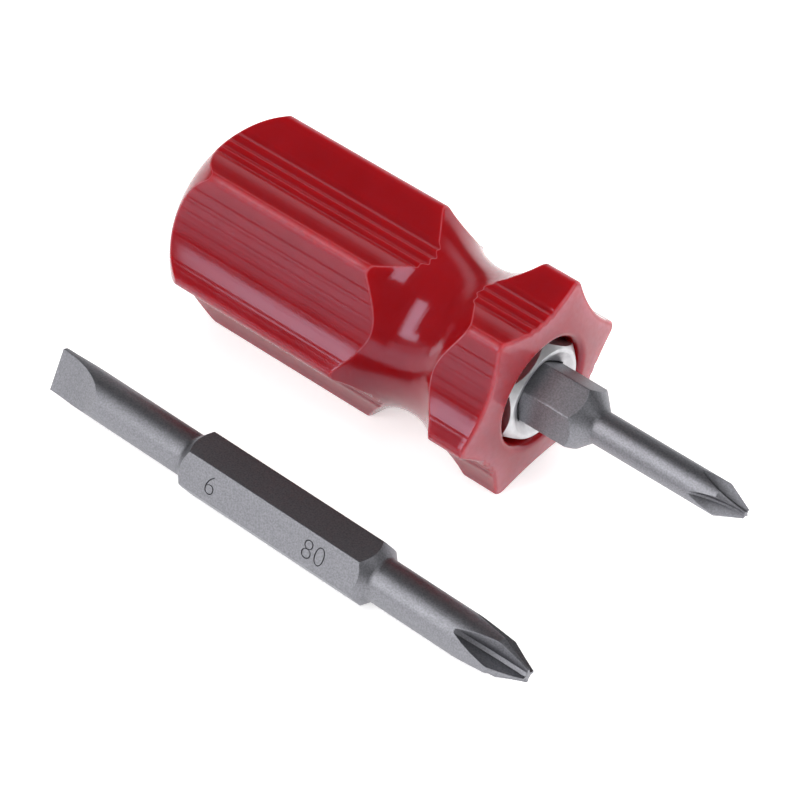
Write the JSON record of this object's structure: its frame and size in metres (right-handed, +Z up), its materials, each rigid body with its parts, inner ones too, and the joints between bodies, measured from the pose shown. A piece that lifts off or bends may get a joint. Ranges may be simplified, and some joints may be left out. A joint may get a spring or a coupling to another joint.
{
  "type": "stubby screwdriver with reversible bits",
  "caption": "Stubby screwdriver: short fluted red plastic handle with a steel hex sleeve, a reversible cross and slotted bit that pulls out of it, and a larger spare bit lying alongside.",
  "frame": {"origin": "on the bench, under the middle of the driver and the spare bit together", "axes": "+X along the handle's axis towards the fitted bit's tip, +Y from the spare bit towards the handle, +Z up"},
  "size_m": [0.087, 0.05, 0.0262],
  "materials": {
    "red_plastic": "polished, with rounded edges",
    "bright_steel": "soft nickel-like plating",
    "spring_steel": "drawn wire",
    "bit_steel": "fine-blasted, dark satin"
  },
  "bodies": {
    "driver": {"handle": "red_plastic", "bit_sleeve": "bright_steel", "retaining_ring": "spring_steel"},
    "fitted_bit": {"fitted_bit": "bit_steel"},
    "spare_bit": {"spare_bit": "bit_steel"}
  },
  "joints": [
    {"name": "fitted_bit_slide", "type": "slide", "parent": "driver", "child": "fitted_bit", "axis": [1, 0, 0], "range_m": [0, 0.05]},
    {"name": "spare_bit_lift", "type": "slide", "parent": "driver", "child": "spare_bit", "axis": [0, 0, 1], "range_m": [0, 0.05]}
  ]
}
